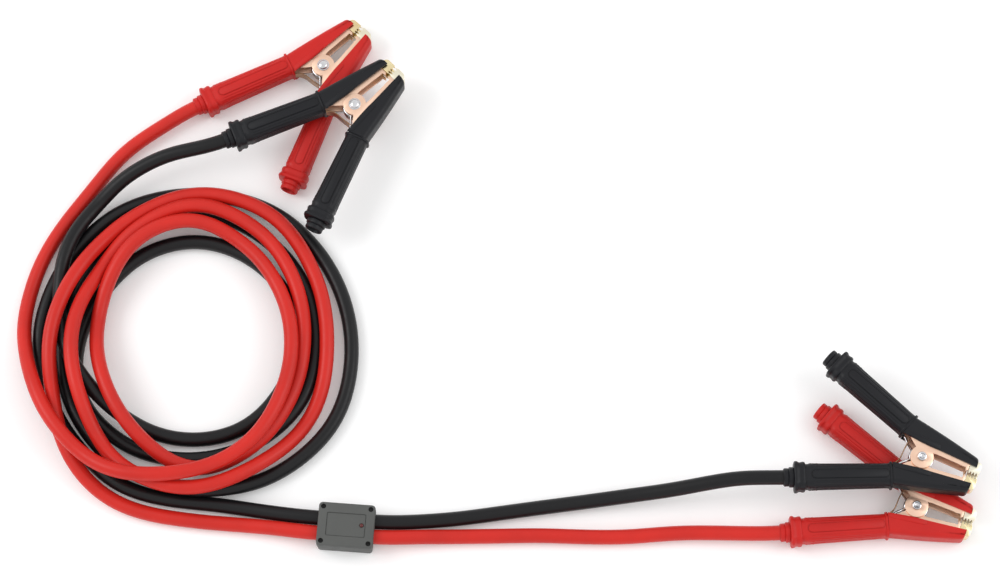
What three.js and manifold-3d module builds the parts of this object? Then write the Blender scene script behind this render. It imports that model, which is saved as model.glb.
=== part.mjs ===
// Car jumper cables: a red and a black cable, four spring clamps and a small surge box.
// Millimetres, +Z up, the floor at z = 0. The origin is the middle of the surge box's foot.
import * as THREE from "three";
import { mergeVertices } from "three/addons/utils/BufferGeometryUtils.js";
import Module from "manifold-3d";

const wasm = await Module();
wasm.setup();

// Clearances
const GAP = 0.3; // between pieces that touch
const TOOTH_GAP = 0.2; // from each tooth to the line where the jaws meet

// Cable
const CABLE_D = 14.5;
const CABLE_SIDES = 8;
const CABLE_STEP = 2.5 * CABLE_D;
const COIL_HEIGHT = 14;
const COIL_SEGMENTS = 32;

// Clamp, in its own frame: pivot at the origin, jaws along +X, the cable's half at +Y
const THICKNESS = 26; // over the sleeve, along Z
const WALL = 1.5; // sheet of the jaws
const CABLE_HALF_WIDTH = 17.2; // over the side walls of the half that the cable enters
const FREE_HALF_WIDTH = CABLE_HALF_WIDTH + 2 * (WALL + GAP); // it straddles the other half
const EAR_R = 10.5;
const RIVET_R = 3;
const RIVET_HEAD_R = 5;
const RIVET_TAIL_R = 4.6;
const RIVET_HEAD_HEIGHT = 1.9;

// Front cover of the sleeve, seen from above
const COVER_FRONT = 53;
const COVER_REAR = -21;
const COVER_FRONT_EDGE = 17.8; // outer edge at COVER_FRONT
const COVER_REAR_EDGE = 36.2; // outer edge at COVER_REAR
const COVER_WALL = 2.1;
const COVER_INNER_FRONT = 8.5;
const COVER_INNER_REAR = 11.6;
const COVER_TAB_END = 14;
const COVER_BEVEL = 4;

// Metal of the jaws
const WALL_FRONT = 46; // where the sheet ends and the contact begins
const TIP_FRONT = 57.5;
const TIP_STEM = 10; // tongue of the contact inside the sheet
const TIP_STEM_DEPTH = 5;
const THROAT_FRONT = 4.8; // sheet's inner edge near the teeth
const THROAT_REAR = 7;
const THROAT_REAR_X = 12;
const NOTCH_X = 43;
const TOOTH_DEPTH = 2.4;
const TOOTH_COUNT = 4;
const STRAP_ROOT_X = -14; // where the ear meets the handle
const STRAP_ROOT_Y = 12;

// Grip, along its own axis from the flange to the nose
const GRIP_START = [-21, 26];
const GRIP_TILT = THREE.MathUtils.degToRad(21.9);
const HANDLE_LENGTH = 60; // metal inside the grip
const HANDLE_HALF = 6.5;
const FLANGE = { length: 3, half: 13.8, thick: THICKNESS };
const GRIP = { length: 82, half: 11.3, thick: 24, taper: 1.2 };
const COLLAR = { length: 10.3, half: 15, thick: THICKNESS };
const NOSE_RINGS = [{ length: 5, radius: 10 }, { length: 5, radius: 9 }];
const NOSE_BORE_R = CABLE_D / 2 + GAP;
const NOSE_BORE_DEPTH = 18;
const GRIP_ROUND = 5;
const FLANGE_ROUND = 4;

// Torsion spring and connecting strap
const SPRING_R = 11;
const SPRING_WIRE_R = 1.1;
const SPRING_TURNS = 3;
const SPRING_PITCH = 2.8;
const SPRING_SIDES = 5;
const SPRING_STEP = 8;
const SPRING_LEG = 21; // reach of the leg that lies in the free half
const STRAP_THICK = 1;
const STRAP_WIDTH = 12;
const STRAP_STEPS = 8;

// Surge box
const BOX = { length: 55.5, width: 43.5, height: 27, round: 4, bevel: 1 };
const BOX_TURN = THREE.MathUtils.degToRad(-4.3);
const CABLE_SPACING = 16.4; // between the two cables where they run through the box
const BOX_CABLE_Z = 13.35;
const SCREW = { radius: 2.1, hole: 2.5, inset: 4.6, length: 8, sunk: 1.2 };
const LABEL = { length: 38, width: 23, depth: 0.5, round: 1.5 };
const LIGHT = { radius: 1.8, x: 15.3, y: 0.6, depth: 3, dome: 0.7 };

// From the box to the pivots of the red clamps, and from those to the pivots of the black ones
const LEFT_REACH = 477.8; // along Y
const LEFT_PIVOT_X = -29.1;
const LEFT_PAIR_STEP = { x: 33.5, y: -51.6 };
const RIGHT_REACH = 556; // along X
const RIGHT_PIVOT_Y = 20.1;
const RIGHT_PAIR_STEP = { x: 3.6, y: 42.6 };

const COLOURS = {
  red: { color: 0xc8322a, roughness: 0.5, metalness: 0 },
  black: { color: 0x232428, roughness: 0.5, metalness: 0 },
  copper: { color: 0xe6b89a, roughness: 0.25, metalness: 1 },
  brass: { color: 0xe8d893, roughness: 0.3, metalness: 1 },
  steel: { color: 0xb8b8bc, roughness: 0.3, metalness: 1 },
  grey: { color: 0x6f706e, roughness: 0.6, metalness: 0 },
  lens: { color: 0x7a1414, roughness: 0.2, metalness: 0 },
};

// Where each clamp lies: the pivot, the direction of the jaws, and on the floor or on another
const CLAMPS = {
  red_left: { colour: "red", x: LEFT_PIVOT_X, y: LEFT_REACH, turn: 46.8, over: false, upper: false },
  black_left: {
    colour: "black",
    x: LEFT_PIVOT_X + LEFT_PAIR_STEP.x,
    y: LEFT_REACH + LEFT_PAIR_STEP.y,
    turn: 43.9,
    over: false,
    upper: true,
  },
  red_right: { colour: "red", x: RIGHT_REACH, y: RIGHT_PIVOT_Y, turn: -18.2, over: true, upper: false },
  black_right: {
    colour: "black",
    x: RIGHT_REACH + RIGHT_PAIR_STEP.x,
    y: RIGHT_PIVOT_Y + RIGHT_PAIR_STEP.y,
    turn: -21,
    over: true,
    upper: true,
  },
};

const material = (name) => new THREE.MeshStandardMaterial(COLOURS[name]);

function toSolid(geometry) {
  const bare = geometry.clone();
  bare.deleteAttribute("normal");
  bare.deleteAttribute("uv");
  const merged = mergeVertices(bare, 1e-4);
  const vertProperties = new Float32Array(merged.attributes.position.array);
  const triVerts = new Uint32Array(merged.index.array);
  return new wasm.Manifold(new wasm.Mesh({ numProp: 3, vertProperties, triVerts }));
}

function toGeometry(solid) {
  const mesh = solid.getMesh();
  const geometry = new THREE.BufferGeometry();
  geometry.setAttribute("position", new THREE.BufferAttribute(mesh.vertProperties, 3));
  geometry.setIndex(new THREE.BufferAttribute(mesh.triVerts, 1));
  geometry.computeVertexNormals();
  return geometry;
}

function outline(points) {
  return new THREE.Shape(points.map(([x, y]) => new THREE.Vector2(x, y)));
}

// A flat outline extruded along Z, centred on z = 0
function slab(shape, width) {
  const geometry = new THREE.ExtrudeGeometry(shape, { depth: width, bevelEnabled: false, curveSegments: 7 });
  return geometry.translate(0, 0, -width / 2);
}

function bevelledSlab(shape, width, bevel) {
  const geometry = new THREE.ExtrudeGeometry(shape, {
    depth: width - 2 * bevel,
    bevelThickness: bevel,
    bevelSize: bevel,
    bevelOffset: -bevel,
    bevelSegments: 1,
    curveSegments: 2,
  });
  return geometry.translate(0, 0, bevel - width / 2);
}

function roundedRect(halfX, halfY, radius) {
  const shape = new THREE.Shape();
  shape.moveTo(halfX, radius - halfY);
  shape.absarc(halfX - radius, halfY - radius, radius, 0, Math.PI / 2);
  shape.absarc(radius - halfX, halfY - radius, radius, Math.PI / 2, Math.PI);
  shape.absarc(radius - halfX, radius - halfY, radius, Math.PI, 1.5 * Math.PI);
  shape.absarc(halfX - radius, radius - halfY, radius, 1.5 * Math.PI, 2 * Math.PI);
  return shape;
}

function place(name, geometry, colour) {
  const mesh = new THREE.Mesh(geometry, material(colour));
  mesh.name = name;
  return mesh;
}

// The straight lines that a clamp half is cut to
const coverEdgeSlope = (COVER_FRONT_EDGE - COVER_REAR_EDGE) / (COVER_FRONT - COVER_REAR);
const coverEdge = (x) => COVER_REAR_EDGE + (x - COVER_REAR) * coverEdgeSlope;
const metalEdge = (x) => coverEdge(x) - COVER_WALL - GAP;
const webInside = (x) => metalEdge(x) - WALL;

// The grip's axis, pointing away from the pivot, and its normal, pointing outward
const gripAxis = new THREE.Vector3(-Math.cos(GRIP_TILT), Math.sin(GRIP_TILT), 0);
const gripNormal = new THREE.Vector3(Math.sin(GRIP_TILT), Math.cos(GRIP_TILT), 0);
const gripFrame = new THREE.Matrix4()
  .makeBasis(gripNormal, new THREE.Vector3(0, 0, -1), gripAxis)
  .setPosition(GRIP_START[0], GRIP_START[1], 0);

function gripPoint(along, outward) {
  return [
    GRIP_START[0] + along * gripAxis.x + outward * gripNormal.x,
    GRIP_START[1] + along * gripAxis.y + outward * gripNormal.y,
  ];
}

// The point at a given x on the line that runs beside the grip's axis
function gripLineAt(x, outward) {
  const along = (x - GRIP_START[0] - outward * gripNormal.x) / gripAxis.x;
  return gripPoint(along, outward);
}

// A rounded bar along the grip's axis, whose width grows by taper towards its end
function gripBar(start, length, half, thick, round, taper = 0) {
  const shape = roundedRect(half, thick / 2, round);
  const geometry = new THREE.ExtrudeGeometry(shape, { depth: length, bevelEnabled: false, curveSegments: 2 });
  const position = geometry.attributes.position;
  for (let i = 0; i < position.count; i += 1) {
    const grown = 1 + (taper / half) * (position.getZ(i) / length);
    position.setX(i, position.getX(i) * grown);
  }
  geometry.translate(0, 0, start);
  return geometry.applyMatrix4(gripFrame);
}

function gripCylinder(start, length, radius) {
  const geometry = new THREE.CylinderGeometry(radius, radius, length, 14);
  geometry.rotateX(Math.PI / 2).translate(0, 0, start + length / 2);
  return geometry.applyMatrix4(gripFrame);
}

const NOSE_START = FLANGE.length + GRIP.length + COLLAR.length;
const NOSE_END = NOSE_RINGS.reduce((sum, ring) => sum + ring.length, NOSE_START);

// Stamped sheet of one jaw: a channel with two toothed side walls, an ear on each, and a handle
function jawGeometry(width) {
  const handleEnd = FLANGE.length + HANDLE_LENGTH;
  const notchY = THROAT_FRONT + 1;
  const earStart = Math.atan2(THROAT_REAR, Math.sqrt(EAR_R ** 2 - THROAT_REAR ** 2));
  const earEnd = Math.atan2(STRAP_ROOT_Y, STRAP_ROOT_X);
  const shape = new THREE.Shape();
  shape.moveTo(WALL_FRONT, TOOTH_GAP + TOOTH_DEPTH);
  shape.lineTo(WALL_FRONT, metalEdge(WALL_FRONT));
  shape.lineTo(COVER_REAR, metalEdge(COVER_REAR));
  shape.lineTo(...gripLineAt(COVER_REAR, HANDLE_HALF));
  shape.lineTo(...gripPoint(handleEnd, HANDLE_HALF));
  shape.lineTo(...gripPoint(handleEnd, -HANDLE_HALF));
  shape.lineTo(...gripLineAt(COVER_REAR, -HANDLE_HALF));
  shape.lineTo(STRAP_ROOT_X, STRAP_ROOT_Y);
  shape.absarc(0, 0, EAR_R, earEnd, 2 * Math.PI + earStart);
  shape.lineTo(THROAT_REAR_X, THROAT_REAR);
  shape.lineTo(NOTCH_X - TOOTH_DEPTH, THROAT_FRONT);
  shape.lineTo(NOTCH_X, notchY);
  shape.lineTo(NOTCH_X + 1, TOOTH_GAP);
  const rivetHole = new THREE.Path();
  rivetHole.absarc(0, 0, RIVET_R + GAP, 0, 2 * Math.PI);
  shape.holes.push(rivetHole);

  const far = TIP_FRONT;
  const turnX = COVER_REAR + WALL;
  const pocket = outline([
    [far, webInside(far)],
    [turnX, webInside(turnX)],
    gripLineAt(COVER_REAR, HANDLE_HALF - WALL),
    gripPoint(handleEnd + 1, HANDLE_HALF - WALL),
    gripPoint(handleEnd + 1, -HANDLE_HALF - EAR_R),
    [-EAR_R, -2 * EAR_R],
    [far, -2 * EAR_R],
  ]);
  const solid = toSolid(slab(shape, width)).subtract(toSolid(slab(pocket, width - 2 * WALL)));
  return toGeometry(solid);
}

// Toothed contact at the jaw's tip, with a tongue that lies in the channel
function tipGeometry(width) {
  const rear = WALL_FRONT + GAP;
  const pitch = (TIP_FRONT - rear) / TOOTH_COUNT;
  const points = [[rear, metalEdge(rear)], [rear, TOOTH_GAP + TOOTH_DEPTH]];
  for (let tooth = 0; tooth < TOOTH_COUNT; tooth += 1) {
    points.push([rear + (tooth + 0.5) * pitch, TOOTH_GAP]);
    points.push([rear + (tooth + 1) * pitch, TOOTH_GAP + TOOTH_DEPTH]);
  }
  points.push([TIP_FRONT, metalEdge(TIP_FRONT)]);
  const head = toSolid(slab(outline(points), width));
  const hollow = outline([
    [rear - 1, webInside(rear - 1) - GAP - WALL],
    [TIP_FRONT + 1, webInside(TIP_FRONT + 1) - GAP - WALL],
    [TIP_FRONT + 1, -1],
    [rear - 1, -1],
  ]);
  const stemRear = rear - TIP_STEM;
  const stem = outline([
    [stemRear, webInside(stemRear) - GAP],
    [stemRear, webInside(stemRear) - GAP - TIP_STEM_DEPTH],
    [rear + WALL, webInside(rear + WALL) - GAP - TIP_STEM_DEPTH],
    [rear + WALL, webInside(rear + WALL) - GAP],
  ]);
  const shell = head.subtract(toSolid(slab(hollow, width - 2 * WALL)));
  return toGeometry(shell.add(toSolid(slab(stem, width - 2 * WALL - 2 * GAP))));
}

// Moulded sleeve of one half: front cover, flange, grip, collar and nose in one piece
function sleeveGeometry(width) {
  const innerEdge = [
    [COVER_REAR, COVER_INNER_REAR],
    [COVER_TAB_END, COVER_INNER_REAR],
    [COVER_TAB_END + WALL, COVER_INNER_REAR - WALL],
    [COVER_FRONT, COVER_INNER_FRONT],
  ];
  const cover = outline([
    [COVER_REAR, 0],
    [COVER_FRONT, 0],
    [COVER_FRONT, coverEdge(COVER_FRONT)],
    [COVER_REAR, coverEdge(COVER_REAR)],
  ]);
  const margin = 2 * THICKNESS;
  const below = outline([
    [COVER_REAR - COVER_BEVEL, -margin],
    [COVER_FRONT + COVER_BEVEL, -margin],
    [COVER_FRONT + COVER_BEVEL, COVER_INNER_FRONT],
    ...innerEdge.slice().reverse(),
    [COVER_REAR - COVER_BEVEL, COVER_INNER_REAR],
  ]);
  const cavity = outline([
    [COVER_REAR - 1, coverEdge(COVER_REAR - 1) - COVER_WALL],
    [COVER_REAR - 1, 0],
    [COVER_FRONT + COVER_BEVEL, 0],
    [COVER_FRONT + COVER_BEVEL, coverEdge(COVER_FRONT + COVER_BEVEL) - COVER_WALL],
  ]);
  const gripEnd = FLANGE.length + GRIP.length;
  let body = toSolid(bevelledSlab(cover, THICKNESS, COVER_BEVEL))
    .subtract(toSolid(slab(below, margin)))
    .add(toSolid(gripBar(0, FLANGE.length, FLANGE.half, FLANGE.thick, FLANGE_ROUND)))
    .add(toSolid(gripBar(0, gripEnd, GRIP.half, GRIP.thick, GRIP_ROUND, GRIP.taper)))
    .add(toSolid(gripBar(gripEnd, COLLAR.length, COLLAR.half, COLLAR.thick, GRIP_ROUND)));
  let start = NOSE_START;
  for (const ring of NOSE_RINGS) {
    body = body.add(toSolid(gripCylinder(start - 1, ring.length + 1, ring.radius)));
    start += ring.length;
  }
  const pocketDepth = FLANGE.length + HANDLE_LENGTH + GAP;
  const pocketShape = roundedRect(HANDLE_HALF + GAP, width / 2 + GAP, 0.5);
  const pocket = new THREE.ExtrudeGeometry(pocketShape, {
    depth: pocketDepth + EAR_R,
    bevelEnabled: false,
    curveSegments: 1,
  });
  pocket.translate(0, 0, -EAR_R).applyMatrix4(gripFrame);
  return toGeometry(
    body
      .subtract(toSolid(slab(cavity, width + 2 * GAP)))
      .subtract(toSolid(pocket))
      .subtract(toSolid(gripCylinder(NOSE_END - NOSE_BORE_DEPTH, NOSE_BORE_DEPTH + 1, NOSE_BORE_R))),
  );
}

// Rivet through the four ears: a domed head above, a rolled-over hollow tail below
function rivetGeometry() {
  const shoulder = FREE_HALF_WIDTH / 2 + GAP;
  const tailEnd = -shoulder - 0.8 * RIVET_HEAD_HEIGHT;
  const profile = [
    [0, tailEnd + 1],
    [RIVET_TAIL_R - 2.4, tailEnd + 0.6],
    [RIVET_TAIL_R - 1.2, tailEnd],
    [RIVET_TAIL_R, tailEnd + 0.6],
    [RIVET_TAIL_R, -shoulder],
    [RIVET_R, -shoulder],
    [RIVET_R, shoulder],
    [RIVET_HEAD_R, shoulder],
    [RIVET_HEAD_R, shoulder + 0.5],
    [RIVET_HEAD_R * 0.75, shoulder + RIVET_HEAD_HEIGHT * 0.75],
    [0, shoulder + RIVET_HEAD_HEIGHT],
  ];
  const lathe = new THREE.LatheGeometry(profile.map(([x, y]) => new THREE.Vector2(x, y)), 12);
  return lathe.rotateX(Math.PI / 2);
}

function wireCircle(radius, sides) {
  const points = [];
  for (let i = 0; i < sides; i += 1) {
    const angle = (2 * Math.PI * i) / sides;
    points.push([radius * Math.cos(angle), radius * Math.sin(angle)]);
  }
  return outline(points);
}

function tube(points, diameter, sides, step) {
  const curve = new THREE.CatmullRomCurve3(points.map((p) => new THREE.Vector3(...p)), false, "centripetal");
  return new THREE.ExtrudeGeometry(wireCircle(diameter / 2, sides), {
    steps: Math.max(2, Math.round(curve.getLength() / step)),
    extrudePath: curve,
  });
}

// Spring coiled around the rivet; one leg lies in the cable's half, the other ends free of it
function springGeometry() {
  const points = [];
  const height = SPRING_TURNS * SPRING_PITCH;
  const legX = -SPRING_R;
  const seat = webInside(-legX) - 2 * GAP;
  points.push([legX, -SPRING_LEG, -height / 2]);
  points.push([legX, -SPRING_LEG / 2, -height / 2]);
  const quarter = 8 * SPRING_TURNS + 4;
  for (let i = 0; i <= quarter; i += 1) {
    const angle = Math.PI + (i * Math.PI) / 4;
    const z = height * (i / quarter - 0.5);
    points.push([SPRING_R * Math.cos(angle), SPRING_R * Math.sin(angle), z]);
  }
  points.push([-legX, seat / 2, height / 2]);
  points.push([-legX, seat, height / 2]);
  return tube(points, 2 * SPRING_WIRE_R, SPRING_SIDES, SPRING_STEP);
}

// Copper strap that joins the two halves behind the pivot
function strapGeometry() {
  const rootX = COVER_REAR + 4.5;
  const curve = new THREE.CatmullRomCurve3([
    new THREE.Vector3(rootX, webInside(rootX) - 2 * GAP, 0),
    new THREE.Vector3(COVER_REAR + 2, GRIP_START[1] - 2, 0),
    new THREE.Vector3(COVER_REAR - 1.5, GRIP_START[1] - 10, 0),
    new THREE.Vector3(-EAR_R - 13, EAR_R - 2.5, 0),
    new THREE.Vector3(-EAR_R - 10.5, -2, 0),
    new THREE.Vector3(-EAR_R - 7, -EAR_R - 3.5, 0),
  ]);
  const near = [];
  const off = [];
  for (let i = 0; i <= STRAP_STEPS; i += 1) {
    const point = curve.getPoint(i / STRAP_STEPS);
    const along = curve.getTangent(i / STRAP_STEPS);
    near.push([point.x - (along.y * STRAP_THICK) / 2, point.y + (along.x * STRAP_THICK) / 2]);
    off.push([point.x + (along.y * STRAP_THICK) / 2, point.y - (along.x * STRAP_THICK) / 2]);
  }
  return slab(outline([...near, ...off.reverse()]), STRAP_WIDTH);
}

const clampShapes = {
  cableJaw: jawGeometry(CABLE_HALF_WIDTH),
  freeJaw: jawGeometry(FREE_HALF_WIDTH),
  cableTip: tipGeometry(CABLE_HALF_WIDTH),
  freeTip: tipGeometry(FREE_HALF_WIDTH),
  cableSleeve: sleeveGeometry(CABLE_HALF_WIDTH),
  freeSleeve: sleeveGeometry(FREE_HALF_WIDTH),
  rivet: rivetGeometry(),
  spring: springGeometry(),
  strap: strapGeometry(),
};

function clampHeight(clamp) {
  return THICKNESS / 2 + (clamp.upper ? THICKNESS + GAP : 0);
}

function clampGroup(name, clamp) {
  const group = new THREE.Group();
  group.position.set(clamp.x, clamp.y, clampHeight(clamp));
  group.rotation.set(clamp.over ? Math.PI : 0, 0, 0);
  group.rotation.order = "ZYX";
  group.rotation.z = THREE.MathUtils.degToRad(clamp.turn);
  group.add(place(`${name}_cable_jaw`, clampShapes.cableJaw, "copper"));
  group.add(place(`${name}_cable_tip`, clampShapes.cableTip, "brass"));
  group.add(place(`${name}_cable_sleeve`, clampShapes.cableSleeve, clamp.colour));
  group.add(place(`${name}_rivet`, clampShapes.rivet, "steel"));
  group.add(place(`${name}_spring`, clampShapes.spring, "steel"));
  group.add(place(`${name}_strap`, clampShapes.strap, "copper"));
  const freeHalf = new THREE.Group();
  freeHalf.rotation.x = Math.PI;
  freeHalf.add(place(`${name}_free_jaw`, clampShapes.freeJaw, "copper"));
  freeHalf.add(place(`${name}_free_tip`, clampShapes.freeTip, "brass"));
  freeHalf.add(place(`${name}_free_sleeve`, clampShapes.freeSleeve, clamp.colour));
  group.add(freeHalf);
  return group;
}

// The way a cable leaves its clamp: the bottom of the nose's bore, and a point straight out of it
function noseRoute(clamp, ahead) {
  const turn = THREE.MathUtils.degToRad(clamp.turn);
  return ahead.map((distance) => {
    const along = NOSE_END + distance;
    const [x, y] = gripPoint(along, 0);
    const side = clamp.over ? -y : y;
    return [
      clamp.x + x * Math.cos(turn) - side * Math.sin(turn),
      clamp.y + x * Math.sin(turn) + side * Math.cos(turn),
      clampHeight(clamp),
    ];
  });
}

// Straight run through the surge box, from left to right
function boxRoute(side) {
  const y = (side * CABLE_SPACING) / 2;
  return [-58, -40, 40, 58].map((x) => [
    x * Math.cos(BOX_TURN) - y * Math.sin(BOX_TURN),
    x * Math.sin(BOX_TURN) + y * Math.cos(BOX_TURN),
    BOX_CABLE_Z,
  ]);
}

// Points of the right run, whose x is a share of its reach
const rightRun = (points) => points.map(([share, y, z]) => [share * RIGHT_REACH, y, z]);

const NOSE_OUT = [GAP - NOSE_BORE_DEPTH, 0, 20, 27];
const FLOOR_Z = CABLE_D / 2;

const RED_TAIL = [
  ...noseRoute(CLAMPS.red_left, NOSE_OUT),
  [-234, 374, 9],
  [-282, 324, FLOOR_Z],
  [-314, 264, FLOOR_Z],
  [-323, 205, 8],
  [-318, 176, 14],
  [-304.8, 146, 21.3],
];
const RED_LEAD = [
  [-300, 127, 21.3],
  [-300, 106, 16.5],
  [-291, 81, 9],
  [-276, 54, FLOOR_Z],
  [-244, 27, FLOOR_Z],
  [-200, 11, FLOOR_Z],
  [-149, 3, FLOOR_Z],
  [-102, -2, FLOOR_Z],
  ...boxRoute(-1),
  ...rightRun([
    [0.18, -15, FLOOR_Z],
    [0.27, -12, FLOOR_Z],
    [0.36, -9, FLOOR_Z],
    [0.46, -12, FLOOR_Z],
    [0.54, -9, FLOOR_Z],
    [0.61, -3, FLOOR_Z],
    [0.68, 1, 9],
  ]),
  ...noseRoute(CLAMPS.red_right, NOSE_OUT).reverse(),
];
const BLACK_TAIL = [
  ...noseRoute(CLAMPS.black_left, NOSE_OUT),
  [-189, 367, 27],
  [-212, 358, 16],
  [-236.4, 338.8, FLOOR_Z],
];
const BLACK_LEAD = [
  [-271, 87, FLOOR_Z],
  [-257, 69, FLOOR_Z],
  [-236, 50, FLOOR_Z],
  [-207, 34, FLOOR_Z],
  [-174, 26, FLOOR_Z],
  [-126, 20, FLOOR_Z],
  [-90, 15, FLOOR_Z],
  ...boxRoute(1),
  ...rightRun([
    [0.18, 4, FLOOR_Z],
    [0.27, 12, FLOOR_Z],
    [0.34, 21, FLOOR_Z],
    [0.41, 24, FLOOR_Z],
    [0.485, 28, 10],
    [0.56, 34, 16],
    [0.63, 40, 25],
    [0.69, 45, 34],
  ]),
  ...noseRoute(CLAMPS.black_right, NOSE_OUT).reverse(),
];

const RED_COIL = { x: -157.5, y: 187, radius: 144.7, stretch: 1.107, width: 50, base: COIL_HEIGHT + GAP };
const BLACK_COIL = { x: -153, y: 199, radius: 155, stretch: 1, width: 58, base: 0 };

// Outer shape of the lying turns: a flat ring with half-round edges
function coilGeometry(coil) {
  const edge = COIL_HEIGHT / 2;
  const profile = [];
  for (let i = 0; i <= 2; i += 1) {
    const angle = -Math.PI / 2 + (i * Math.PI) / 2;
    profile.push([coil.radius - edge + edge * Math.cos(angle), edge + edge * Math.sin(angle)]);
  }
  for (let i = 0; i <= 2; i += 1) {
    const angle = Math.PI / 2 + (i * Math.PI) / 2;
    profile.push([coil.radius - coil.width + edge + edge * Math.cos(angle), edge + edge * Math.sin(angle)]);
  }
  profile.push(profile[0]);
  const lathe = new THREE.LatheGeometry(profile.map(([x, y]) => new THREE.Vector2(x, y)), COIL_SEGMENTS);
  return lathe.rotateX(Math.PI / 2).scale(1, coil.stretch, 1);
}

function coilMesh(name, coil, colour) {
  const mesh = place(name, coilGeometry(coil), colour);
  mesh.position.set(coil.x, coil.y, coil.base);
  return mesh;
}

// Two troughs for the cables, cut into both shells at the joint between them
function troughs() {
  const cut = (side) => {
    const geometry = new THREE.CylinderGeometry(CABLE_D / 2 + GAP, CABLE_D / 2 + GAP, BOX.length + 2, 14);
    geometry.rotateZ(Math.PI / 2).translate(0, (side * CABLE_SPACING) / 2, BOX_CABLE_Z);
    return toSolid(geometry);
  };
  return cut(1).add(cut(-1));
}

function boxCorners() {
  const x = BOX.length / 2 - SCREW.inset;
  const y = BOX.width / 2 - SCREW.inset;
  return [[x, y], [-x, y], [-x, -y], [x, -y]];
}

function boxBaseGeometry() {
  const height = BOX_CABLE_Z - GAP / 2;
  const shape = roundedRect(BOX.length / 2 - BOX.bevel, BOX.width / 2 - BOX.bevel, BOX.round);
  const shell = bevelledSlab(shape, height, BOX.bevel).translate(0, 0, height / 2);
  return toGeometry(toSolid(shell).subtract(troughs()));
}

function boxLidGeometry() {
  const height = BOX.height - BOX_CABLE_Z - GAP / 2;
  const shape = roundedRect(BOX.length / 2, BOX.width / 2, BOX.round);
  const shell = bevelledSlab(shape, height, BOX.bevel).translate(0, 0, BOX.height - height / 2);
  let lid = toSolid(shell).subtract(troughs());
  for (const [x, y] of boxCorners()) {
    const depth = SCREW.length + SCREW.sunk + GAP;
    const hole = new THREE.CylinderGeometry(SCREW.hole, SCREW.hole, depth + 1, 10);
    hole.rotateX(Math.PI / 2).translate(x, y, BOX.height - depth / 2 + 0.5);
    lid = lid.subtract(toSolid(hole));
  }
  const label = slab(roundedRect(LABEL.length / 2, LABEL.width / 2, LABEL.round), 2 * LABEL.depth);
  lid = lid.subtract(toSolid(label.translate(0, 0, BOX.height)));
  const seat = new THREE.CylinderGeometry(LIGHT.radius + GAP, LIGHT.radius + GAP, LIGHT.depth * 2, 10);
  seat.rotateX(Math.PI / 2).translate(LIGHT.x, LIGHT.y, BOX.height);
  return toGeometry(lid.subtract(toSolid(seat)));
}

function screwGeometry() {
  const geometry = new THREE.CylinderGeometry(SCREW.radius, SCREW.radius, SCREW.length, 10);
  return geometry.rotateX(Math.PI / 2).translate(0, 0, BOX.height - SCREW.sunk - SCREW.length / 2);
}

function lightGeometry() {
  const bottom = BOX.height - LIGHT.depth + GAP;
  const top = BOX.height;
  const profile = [
    [0, bottom],
    [LIGHT.radius, bottom],
    [LIGHT.radius, top],
    [LIGHT.radius * 0.7, top + LIGHT.dome * 0.7],
    [0, top + LIGHT.dome],
  ];
  const lathe = new THREE.LatheGeometry(profile.map(([x, y]) => new THREE.Vector2(x, y)), 10);
  return lathe.rotateX(Math.PI / 2);
}

function surgeBox() {
  const group = new THREE.Group();
  group.rotation.z = BOX_TURN;
  group.add(place("box_base", boxBaseGeometry(), "grey"));
  group.add(place("box_lid", boxLidGeometry(), "grey"));
  boxCorners().forEach(([x, y], i) => {
    const screw = place(`box_screw_${i + 1}`, screwGeometry(), "black");
    screw.position.set(x, y, 0);
    group.add(screw);
  });
  const light = place("box_light", lightGeometry(), "lens");
  light.position.set(LIGHT.x, LIGHT.y, 0);
  group.add(light);
  return group;
}

const set = new THREE.Group();
for (const [name, clamp] of Object.entries(CLAMPS)) {
  set.add(clampGroup(name, clamp));
}
set.add(surgeBox());
const cable = (points) => tube(points, CABLE_D, CABLE_SIDES, CABLE_STEP);
set.add(place("red_cable_tail", cable(RED_TAIL), "red"));
set.add(coilMesh("red_cable_coil", RED_COIL, "red"));
set.add(place("red_cable_lead", cable(RED_LEAD), "red"));
set.add(place("black_cable_tail", cable(BLACK_TAIL), "black"));
set.add(coilMesh("black_cable_coil", BLACK_COIL, "black"));
set.add(place("black_cable_lead", cable(BLACK_LEAD), "black"));

export default set;
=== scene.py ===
"""Looks of a set of jumper cables: two coiled cables, four sprung clamps and a surge box.

Parts are built in millimetres, and piece() scales them to metres. A clamp is built once in its own
frame, x along the jaws, y out from the throat and z across its thickness, and is placed four times.
"""
import math

import bmesh
import bpy
import numpy as np
from mathutils import Matrix, Vector


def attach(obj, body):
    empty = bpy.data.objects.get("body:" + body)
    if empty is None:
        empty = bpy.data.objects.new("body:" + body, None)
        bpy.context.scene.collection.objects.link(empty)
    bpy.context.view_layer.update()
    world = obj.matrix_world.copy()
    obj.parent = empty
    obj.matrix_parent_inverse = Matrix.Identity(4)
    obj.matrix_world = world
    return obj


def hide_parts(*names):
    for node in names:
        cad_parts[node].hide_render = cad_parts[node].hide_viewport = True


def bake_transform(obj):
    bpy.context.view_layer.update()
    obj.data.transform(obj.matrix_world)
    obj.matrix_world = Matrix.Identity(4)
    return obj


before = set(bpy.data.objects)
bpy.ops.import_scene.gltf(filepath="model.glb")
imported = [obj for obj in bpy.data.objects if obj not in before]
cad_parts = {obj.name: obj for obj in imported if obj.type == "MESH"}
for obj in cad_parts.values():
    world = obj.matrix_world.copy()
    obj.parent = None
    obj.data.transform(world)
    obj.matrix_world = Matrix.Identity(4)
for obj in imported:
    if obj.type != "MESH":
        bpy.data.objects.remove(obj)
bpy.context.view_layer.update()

MM = 0.001

# Camera at the photo's viewing angle, in metres
CAMERA_AT = (0.1499, -0.7724, 3.3471)
CAMERA_PITCH = math.radians(17.0)  # off straight down
CAMERA_LENS = 126
CAMERA_SENSOR = 36
CAMERA_CLIP = 30

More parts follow.
